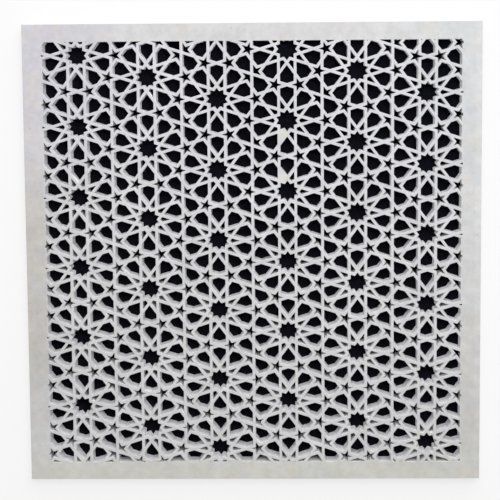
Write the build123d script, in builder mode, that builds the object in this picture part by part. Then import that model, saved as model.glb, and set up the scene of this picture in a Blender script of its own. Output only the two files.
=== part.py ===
# A cast concrete lattice screen: one slab, pierced right through by a ten-pointed star pattern.
# It lies on its back with the front face up; +Y is the edge that is its top when it stands.
import math
import os

from build123d import *

os.makedirs("parts", exist_ok=True)

# Driving dimensions, mm
panel_width = 990.0
panel_height = 1000.0
panel_thickness = 50.0
side_margin = 40.0    # plain border left and right of the pierced window
end_margin = 38.0     # plain border above and below it
columns = 6           # columns of ten-pointed stars across the window
rows = 6              # stars in each column
bar_width = 6.0       # the same for every bar of the lattice
clogged_kites = [(3, 0, 252), (3, 1, 108)]    # cast shut: column, row and direction from the star

window_width = panel_width - 2 * side_margin
window_height = panel_height - 2 * end_margin

# The pattern in its own unit, the distance between two stars of one column
step_across = math.cos(math.radians(18))
step_down = math.sin(math.radians(18))
cell_corner = 1 / (2 + 2 * math.sin(math.radians(18)))    # of the ten-sided cell round a large star
kite_tip = cell_corner * math.cos(math.radians(18))
bar_offset = kite_tip * math.sin(math.radians(18))        # the bars pass the large star's centre at this
star_tip = bar_offset / math.cos(math.radians(54))
star_valley = bar_offset / math.cos(math.radians(36))
small_tip = cell_corner * math.sin(math.radians(18)) / math.tan(math.radians(36))
small_valley = small_tip * math.cos(math.radians(72)) / math.cos(math.radians(36))
small_distance = kite_tip + small_tip                     # from a large star to the small ones round it


def polar(radius, degrees, centre=(0.0, 0.0)):
    angle = math.radians(degrees)
    return (centre[0] + radius * math.cos(angle), centre[1] + radius * math.sin(angle))


def star(points, tip, valley, degrees, centre=(0.0, 0.0)):
    corners = []
    for arm in range(points):
        direction = degrees + 360 / points * arm
        corners.append(polar(tip, direction, centre))
        corners.append(polar(valley, direction + 180 / points, centre))
    return corners


def kite(degrees):
    return [
        polar(kite_tip, degrees),
        polar(star_tip, degrees + 18),
        polar(star_valley, degrees),
        polar(star_tip, degrees - 18),
    ]


def petal(degrees, centre=(0.0, 0.0)):
    # Six corners, given along and beside the axis that leaves the centre in this direction
    widest = kite_tip * math.cos(math.radians(18))
    shoulder = 0.5 - bar_offset * math.tan(math.radians(18))
    profile = [
        (star_tip, 0),
        (widest, bar_offset),
        (shoulder, bar_offset),
        (0.5, 0),
        (shoulder, -bar_offset),
        (widest, -bar_offset),
    ]
    return [polar(aside, degrees - 90, polar(along, degrees, centre)) for along, aside in profile]


def three_armed_star(middle):
    # One half of the field between two columns, cut from a small star by the bar through the middle
    centre = polar(small_distance, 36)
    return [
        polar(small_tip, 288, centre),
        middle,
        polar(small_tip, 144, centre),
        polar(small_valley, 180, centre),
        polar(small_tip, 216, centre),
        polar(small_valley, 252, centre),
    ]


def rosette():
    # The openings that belong to one large star, by name
    openings = {"star": star(10, star_tip, star_valley, 90)}
    for turn in range(10):
        openings["kite", 36 * turn] = kite(36 * turn)
        openings["petal", 36 * turn] = petal(36 * turn + 18)
    for degrees in (-36, 0, 72, 108):
        centre = polar(small_distance, degrees)
        openings["small star", degrees] = star(5, small_tip, small_valley, degrees + 180, centre)
    middle = (step_across / 2, (1 - step_down) / 2)
    for degrees in (126, 306):
        openings["middle petal", degrees] = petal(degrees, polar(-star_tip, degrees, middle))
    half = three_armed_star(middle)
    openings["upper half"] = half
    openings["lower half"] = [(2 * middle[0] - x, 2 * middle[1] - y) for x, y in half]
    return openings


def on_panel(corner, centre):
    # The window starts half a column left of the first star and at that star's upper tip
    x = ((centre[0] + corner[0]) / step_across + 0.5) * window_width / columns - window_width / 2
    y = (centre[1] + corner[1] - star_tip) * window_height / rows + window_height / 2
    return (x, y)


def narrowed(corners, distance):
    # Every side of the polygon moved inwards by half a bar, and met with its neighbours again
    following = corners[1:] + corners[:1]
    doubled_area = sum(a[0] * b[1] - b[0] * a[1] for a, b in zip(corners, following))
    turn = math.copysign(1, doubled_area)
    sides = []
    for a, b in zip(corners, following):
        length = math.dist(a, b)
        across = (turn * (a[1] - b[1]) / length, turn * (b[0] - a[0]) / length)
        sides.append((across[0], across[1], across[0] * a[0] + across[1] * a[1] + distance))
    moved = []
    for (p, q, r), (s, t, u) in zip(sides[-1:] + sides[:-1], sides):
        cross = p * t - q * s
        moved.append(((r * t - q * u) / cross, (p * u - r * s) / cross))
    return moved


def window_openings():
    # Each column of stars is one step lower than the column before it
    polygons = []
    for column in range(-1, columns + 1):
        for row in range(-1, rows + 2):
            centre = (column * step_across, -row - (column * step_down) % 1)
            for name, corners in rosette().items():
                if name[0] == "kite" and (column, row, name[1]) in clogged_kites:
                    continue
                corners = narrowed([on_panel(corner, centre) for corner in corners], bar_width / 2)
                if any(abs(x) < window_width / 2 and abs(y) < window_height / 2 for x, y in corners):
                    polygons.append(Polygon(*corners, align=None))
    return polygons


openings = window_openings()

with BuildSketch() as lattice:
    Rectangle(window_width, window_height)
    add(openings, mode=Mode.SUBTRACT)

with BuildPart() as lattice_screen:
    with BuildSketch() as front:
        Rectangle(panel_width, panel_height)
        Rectangle(window_width, window_height, mode=Mode.SUBTRACT)
        add(lattice.sketch)
    extrude(amount=panel_thickness)

lattice_screen.part.label = "lattice_screen"
export_step(lattice_screen.part, "parts/lattice_screen.step")
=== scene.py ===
# Looks for the cast concrete lattice screen: its material, the light, the floor and the camera.
import math

import bpy
from mathutils import Matrix, Vector


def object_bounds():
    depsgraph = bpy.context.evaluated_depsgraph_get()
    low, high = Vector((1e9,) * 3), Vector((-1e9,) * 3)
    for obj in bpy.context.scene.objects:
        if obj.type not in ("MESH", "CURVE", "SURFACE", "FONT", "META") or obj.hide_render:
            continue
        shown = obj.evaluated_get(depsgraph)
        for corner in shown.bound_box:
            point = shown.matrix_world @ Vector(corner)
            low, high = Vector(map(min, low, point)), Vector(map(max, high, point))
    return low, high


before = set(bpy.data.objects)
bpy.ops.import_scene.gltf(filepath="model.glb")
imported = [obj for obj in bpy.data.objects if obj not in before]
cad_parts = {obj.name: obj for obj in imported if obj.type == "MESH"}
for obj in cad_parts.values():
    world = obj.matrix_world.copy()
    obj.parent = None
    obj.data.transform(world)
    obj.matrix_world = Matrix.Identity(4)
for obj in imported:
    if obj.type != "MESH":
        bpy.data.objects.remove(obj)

cadLow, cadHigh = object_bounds()
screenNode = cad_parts["lattice_screen"]
pureWhite = (1.0, 1.0, 1.0, 1.0)


class Wire:
    # one output in a node tree, so that shader maths reads as plain expressions
    def __init__(self, paint, socket):
        self.paint = paint
        self.socket = socket

    def __add__(self, other):
        return self.paint.maths("ADD", self, other)

    def __radd__(self, other):
        return self.paint.maths("ADD", other, self)

    def __sub__(self, other):
        return self.paint.maths("SUBTRACT", self, other)

    def __rsub__(self, other):
        return self.paint.maths("SUBTRACT", other, self)

    def __mul__(self, other):
        return self.paint.maths("MULTIPLY", self, other)

    def __rmul__(self, other):
        return self.paint.maths("MULTIPLY", other, self)

    def __abs__(self):
        return self.paint.maths("ABSOLUTE", self)


class Paint:
    # a material or world under construction
    def __init__(self, holder):
        holder.use_nodes = True
        self.holder = holder
        self.tree = holder.node_tree
        self.tree.nodes.clear()

    def add(self, kind, settings=None, values=None, output=0):
        # values go to sockets by name, or by number where several sockets share a name
        node = self.tree.nodes.new("ShaderNode" + kind)
        for name, value in (settings or {}).items():
            setattr(node, name, value)
        for name, value in (values or {}).items():
            if isinstance(value, Wire):
                self.tree.links.new(value.socket, node.inputs[name])
            else:
                node.inputs[name].default_value = value
        return None if output is None else Wire(self, node.outputs[output])

    def maths(self, operation, first, second=0.0):
        return self.add("Math", {"operation": operation}, {0: first, 1: second})

    def parts(self, vector):
        node = self.add("SeparateXYZ", None, {0: vector}).socket.node
        return [Wire(self, socket) for socket in node.outputs]

    def ramp(self, value, low, high):
        # 0 below low, 1 above high, smooth between
        settings = {"interpolation_type": "SMOOTHSTEP"}
        return self.add("MapRange", settings, {"Value": value, "From Min": low, "From Max": high})

    def blend(self, mask, first, second):
        return self.add("Mix", {"data_type": "RGBA"}, {0: mask, 6: first, 7: second}, 2)

    def shaded(self, colour, shade):
        grey = self.add("CombineColor", None, {0: shade, 1: shade, 2: shade})
        settings = {"data_type": "RGBA", "blend_type": "MULTIPLY"}
        return self.add("Mix", settings, {0: 1.0, 6: colour, 7: grey}, 2)

    def noise(self, place, size, detail, roughness):
        values = {"Vector": place, "Scale": 1 / size, "Detail": detail, "Roughness": roughness}
        return self.add("TexNoise", None, values, "Fac")

    def inside(self, across, up, half, softness=0.001):
        # 1 within a rectangle round the middle, half as wide and as high as half says
        width = 1 - self.ramp(abs(across), half[0] - softness, half[0] + softness)
        return width * (1 - self.ramp(abs(up), half[1] - softness, half[1] + softness))

    def seen(self):
        # camera rays, and all rays that show the background, straight or in a gloss
        kinds = ("Is Camera Ray", "Is Glossy Ray", "Is Transmission Ray")
        camera, glossy, through = [self.add("LightPath", None, None, kind) for kind in kinds]
        return camera, self.maths("MINIMUM", camera + glossy + through, 1.0)

    def finish(self, surface, output="OutputMaterial"):
        self.add(output, None, {"Surface": surface}, None)
        return self.holder


def opaque(colour):
    return (*colour, 1.0)


# all sizes are in metres
concreteLook = {
    "border": (0.040, 0.038),    # width of the plain border, at the sides and at top and bottom
    "borderGrey": (0.640, 0.634, 0.640),
    "barGrey": (0.655, 0.652, 0.663),    # front of the lower bars
    "barLilac": (0.655, 0.652, 0.694),    # front of the upper bars
    "barFade": (-0.40, 0.40),    # heights between which the bars turn lilac
    "barEdge": 0.008,    # over which the bars' tone goes over into the border's
    "barEdgeWander": 0.01,
    "barShelter": 0.7,    # how far the border's weathering spares the bars
    "paintedLightWallGrey": (0.875, 0.875, 0.890),    # walls of the openings, painted paler and slightly blue: painted light that stands in for the light reaching deep into them
    "wallMargin": 0.002,    # how far outside the window a wall may lie
    "wallTilt": (0.5, 0.9),    # how far a face may turn up and still be a wall, fully and a little

    # weathered tones of the border, and how much of each shows
    "warm": {"tone": (0.535, 0.505, 0.470), "share": 0.75},    # left side, halfway up
    "lilac": {"tone": (0.592, 0.576, 0.636), "share": 0.8},    # left side, above
    "cool": {"tone": (0.640, 0.665, 0.675), "share": 0.7},    # right side, above
    "aged": {"tone": (0.545, 0.538, 0.508), "share": 0.8},    # right side, below
    "dusty": {"tone": (0.640, 0.638, 0.570), "share": 0.8},    # along the bottom
    "plug": {"tone": (0.680, 0.668, 0.585), "share": 0.8},    # the two kites that are cast shut
    "cleanEdge": 0.05,    # how much paler the outermost strip on the right is

    # where those tones begin and end, from the middle of the slab, and how far the line wanders
    "leftZone": (-0.46, -0.10, 0.12),
    "rightZone": (0.20, 0.50, 0.06),
    "stripZone": (0.482, 0.487, 0.004),
    "halfwayZone": (0.10, 0.44, 0.10),
    "upperLeftZone": (0.10, 0.55, 0.15),
    "upperRightZone": (0.00, 0.50, 0.15),
    "lowerRightZone": (-0.42, 0.15, 0.15),
    "bottomZone": (-0.49, -0.34, 0.05),
    "plugZone": (0.0098, 0.0196, 0.01),    # from the middle of a plug
    "plugs": ((0.0665, 0.262), (0.0665, 0.1636)),

    # patterns: size of a feature, detail and roughness of the noise
    "clouds": (0.16, 4.0, 0.6),
    "blotches": (0.035, 3.0, 0.6),
    "mottle": (0.018, 2.0, 0.6),
    "grit": (0.0044, 3.0, 0.6),
    "sand": (0.0011, 2.0, 0.5),
    "stains": (0.045, 3.0, 0.6),
    "pitMix": (0.03, 1.0, 0.5),    # makes some air pits larger than others

    # how far each pattern changes the shade
    "cloudShade": 0.14,
    "blotchShade": 0.20,
    "mottleShade": 0.28,
    "gritShade": 0.10,
    # painted shade in the air pits: how far it darkens them
    "pitPaintedShade": 0.30,

    "stainCream": (0.655, 0.622, 0.568),    # warm stains
    "stainBlue": (0.595, 0.612, 0.628),    # cool stains
    "creamLevels": (0.48, 0.66),    # of the stain pattern, from none to full
    "blueLevels": (0.34, 0.52),    # of the stain pattern, from full to none
    "stainShare": 0.40,

    "pitSpacing": 0.019,
    "pitHeart": 0.02,    # radius of the deepest part of a pit, as a share of the spacing
    "pitReach": 0.14,    # no pit is wider in radius than this share of the spacing
    "pitDepth": 0.0008,
    "blotchDepth": 0.0010,
    "gritDepth": 0.00044,
    "sandDepth": 0.00022,
    "bumpStrength": 0.6,
    "roughness": 0.88,
    "roughnessSpread": 0.08,
    "specular": 0.3,
}


def castConcrete(look):
    # pale cast concrete: sandy skin, small air pits, soft stains, weathered tones round the border
    paint = Paint(bpy.data.materials.new("cast_concrete"))
    place = paint.add("TexCoord", None, None, "Object")
    across, up, _ = paint.parts(place)
    facing = paint.parts(paint.add("TexCoord", None, None, "Normal"))[2]

    names = ("clouds", "blotches", "mottle", "grit", "sand", "stains", "pitMix")
    patterns = [paint.noise(place, *look[name]) for name in names]
    clouds, blotches, mottle, grit, sand, stains, pitMix = patterns

    def zone(along, name, pattern=clouds):
        begin, end, wander = look[name]
        return paint.ramp(along + wander * pattern, begin, end)

    def toned(below, mask, name):
        return paint.blend(mask * look[name]["share"], below, opaque(look[name]["tone"]))

    def uneven(pattern, amount):
        return (1 - amount / 2) + amount * pattern

    # bars, and the walls with their painted light, against the border
    window = [high - border for high, border in zip(cadHigh, look["border"])]
    edge = look["barEdge"]
    wander = look["barEdgeWander"] * (blotches - 0.5)
    field = paint.inside(across, up, [half + wander - edge / 2 for half in window], edge)
    # painted light: the walls of the openings get a paler, slightly blue grey, standing in for the light
    # that reaches deep into them
    paintedLitWalls = paint.inside(across, up, [half + look["wallMargin"] for half in window])
    paintedLitWalls = paintedLitWalls * (1 - paint.ramp(abs(facing), *look["wallTilt"]))
    bars = paint.blend(paint.ramp(up, *look["barFade"]), opaque(look["barGrey"]), opaque(look["barLilac"]))
    colour = paint.blend(field, opaque(look["borderGrey"]), bars)
    border = 1 - look["barShelter"] * field

    # weathered tones
    leftSide = 1 - zone(across, "leftZone")
    rightSide = zone(across, "rightZone")
    begin, end, sway = look["halfwayZone"]
    halfway = 1 - paint.ramp(abs(up + sway * clouds), begin, end)
    colour = toned(colour, leftSide * halfway * border, "warm")
    colour = toned(colour, leftSide * zone(up, "upperLeftZone"), "lilac")
    colour = toned(colour, rightSide * zone(up, "upperRightZone") * border, "cool")
    colour = toned(colour, rightSide * (1 - zone(up, "lowerRightZone")) * border, "aged")
    colour = toned(colour, (1 - zone(up, "bottomZone")) * border, "dusty")

    # stains, the painted light on the walls, and the two plugs
    cream = paint.ramp(stains, *look["creamLevels"]) * border * look["stainShare"]
    blue = (1 - paint.ramp(stains, *look["blueLevels"])) * border * look["stainShare"]
    colour = paint.blend(cream, colour, opaque(look["stainCream"]))
    colour = paint.blend(blue, colour, opaque(look["stainBlue"]))
    colour = paint.blend(paintedLitWalls, colour, opaque(look["paintedLightWallGrey"]))
    for x, y in look["plugs"]:
        away = paint.maths("SQRT", (across - x) * (across - x) + (up - y) * (up - y))
        colour = toned(colour, 1 - zone(away, "plugZone", blotches), "plug")

    # air pits, shade and relief
    pitPlaces = {"Vector": place, "Scale": 1 / look["pitSpacing"]}
    pitDistance = paint.add("TexVoronoi", {"feature": "F1"}, pitPlaces)
    pits = 1 - paint.ramp(pitDistance, look["pitHeart"], look["pitReach"] * pitMix)

    shade = uneven(clouds, look["cloudShade"]) * uneven(blotches, look["blotchShade"])
    shade = shade * uneven(mottle, look["mottleShade"]) * uneven(grit, look["gritShade"])
    shade = shade * (1 + look["cleanEdge"] * zone(across, "stripZone", blotches))
    # painted shade: the air pits are darkened as though in shadow
    shade = shade * (1 - look["pitPaintedShade"] * pits)

    relief = look["blotchDepth"] * blotches + look["sandDepth"] * sand + look["gritDepth"] * grit
    relief = relief - look["pitDepth"] * pits
    bump = {"Height": relief, "Distance": 1.0, "Strength": look["bumpStrength"]}
    values = {
        "Base Color": paint.shaded(colour, shade),
        "Roughness": look["roughness"] - look["roughnessSpread"] * blotches,
        "Normal": paint.add("Bump", None, bump, "Normal"),
        "Specular IOR Level": look["specular"],
    }
    return paint.finish(paint.add("BsdfPrincipled", None, values))


arrisLook = {
    "width": 0.0005,
    "limit": 40,    # degrees between two faces, above which their edge is softened
    "sameCorner": 0.000001,    # corners nearer than this are one
}


def dressScreen(node, look, material):
    # the slab keeps its cast shape: only its material is new, and its arrises are softened
    node.data.materials.clear()
    node.data.materials.append(material)
    weld = node.modifiers.new("join_faces", "WELD")
    weld.merge_threshold = look["sameCorner"]
    bevel = node.modifiers.new("soft_arris", "BEVEL")
    bevel.width = look["width"]
    bevel.segments = 1
    bevel.limit_method = "ANGLE"
    bevel.angle_limit = math.radians(look["limit"])
    bevel.use_clamp_overlap = False
    bevel.loop_slide = False
    print("screen dressed:", node.name)


floorLook = {
    "pale": (0.84, 0.84, 0.84),
    "roughness": 0.9,
    "paintedShadeBehindScreen": (0.007, 0.007, 0.011),    # painted shade: the dark that the camera sees through the openings, standing in for the shade under the slab
    "inset": 0.02,    # how far inside the slab's outline the painted shade stops
    "whiteness": 0.76,    # share of pure white round the slab, the rest keeps the shadow
    "halfSize": 6.0,
}


def makeFloor(look):
    # a pale floor, which the camera sees white round the slab, and dark through its openings: painted
    # shade under the slab
    paint = Paint(bpy.data.materials.new("pale_floor"))
    across, up, _ = paint.parts(paint.add("TexCoord", None, None, "Object"))
    size = cadHigh - cadLow
    paintedShadePatch = paint.inside(across, up, (size.x / 2 - look["inset"], size.y / 2 - look["inset"]))
    camera, seen = paint.seen()
    paleValues = {"Base Color": opaque(look["pale"]), "Roughness": look["roughness"]}
    pale = paint.add("BsdfPrincipled", None, paleValues)
    paintedShadeValues = {"Base Color": opaque(look["paintedShadeBehindScreen"]), "Specular IOR Level": 0.0}
    paintedShade = paint.add("BsdfPrincipled", None, paintedShadeValues)
    white = paint.add("Emission", None, {"Color": pureWhite, "Strength": 1.0})
    # painted shade: within the slab's outline camera rays see a dark floor, and all other rays see the
    # pale one
    surface = paint.add("MixShader", None, {0: camera * paintedShadePatch, 1: pale, 2: paintedShade})
    roundSlab = seen * (1 - paintedShadePatch) * look["whiteness"]
    surface = paint.add("MixShader", None, {0: roundSlab, 1: surface, 2: white})

    half = look["halfSize"]
    mesh = bpy.data.meshes.new("pale_floor")
    corners = [(-half, -half, 0), (half, -half, 0), (half, half, 0), (-half, half, 0)]
    mesh.from_pydata(corners, [], [(0, 1, 2, 3)])
    mesh.materials.append(paint.finish(surface))
    floor = bpy.data.objects.new("pale_floor", mesh)
    centre = (cadLow + cadHigh) / 2
    floor.location = (centre.x, centre.y, cadLow.z)
    bpy.context.collection.objects.link(floor)
    print("floor laid")


def aimed(place, target, roll=0.0):
    # from place towards target, with the screen's top edge upwards in the picture
    ahead = (Vector(target) - Vector(place)).normalized()
    side = ahead.cross(Vector((0, 1, 0))).normalized()
    turn = Matrix((side, side.cross(ahead), -ahead)).transposed()
    turn = turn @ Matrix.Rotation(math.radians(roll), 3, "Z")
    return Matrix.Translation(place) @ turn.to_4x4()


lightLook = {
    "high": {"place": (0.40, 1.25, 3.70), "width": 1.6, "depth": 1.0, "power": 80},
    "low": {"place": (0.45, 2.70, 2.60), "width": 4.4, "depth": 2.0, "power": 68},
    "skyStrength": 0.24,
}


def makeLamp(name, look):
    lamp = bpy.data.lights.new(name, "AREA")
    lamp.shape = "RECTANGLE"
    lamp.size = look["width"]
    lamp.size_y = look["depth"]
    lamp.energy = look["power"]
    holder = bpy.data.objects.new(name, lamp)
    holder.matrix_world = aimed(look["place"], (0, 0, 0))
    bpy.context.collection.objects.link(holder)


def makeLights(look):
    makeLamp("high_lamp", look["high"])
    makeLamp("low_lamp", look["low"])
    paint = Paint(bpy.data.worlds.new("studio"))
    sky = paint.add("Background", None, {"Color": pureWhite, "Strength": look["skyStrength"]})
    backdrop = paint.add("Background", None, {"Color": pureWhite, "Strength": 1.0})
    surface = paint.add("MixShader", None, {0: paint.seen()[1], 1: sky, 2: backdrop})
    bpy.context.scene.world = paint.finish(surface, "OutputWorld")
    print("lights set")


cameraLook = {
    "place": (0.083, 0.416, 3.60),
    "target": (-0.0064, 0.0095, 0.05),
    "roll": -0.46,    # degrees
    "pixelsPerTangent": 1641,    # picture pixels that a slope of 1 spans
    "frameWidth": 500,    # picture pixels
    "sensor": 36,    # millimetres
}


def makeCamera(look):
    lens = bpy.data.cameras.new("camera")
    lens.sensor_width = look["sensor"]
    lens.lens = look["pixelsPerTangent"] / look["frameWidth"] * look["sensor"]
    holder = bpy.data.objects.new("camera", lens)
    holder.matrix_world = aimed(look["place"], look["target"], look["roll"])
    bpy.context.collection.objects.link(holder)
    bpy.context.scene.camera = holder
    print("camera set")


dressScreen(screenNode, arrisLook, castConcrete(concreteLook))
makeFloor(floorLook)
makeLights(lightLook)
makeCamera(cameraLook)
bpy.context.scene.view_settings.view_transform = "Standard"
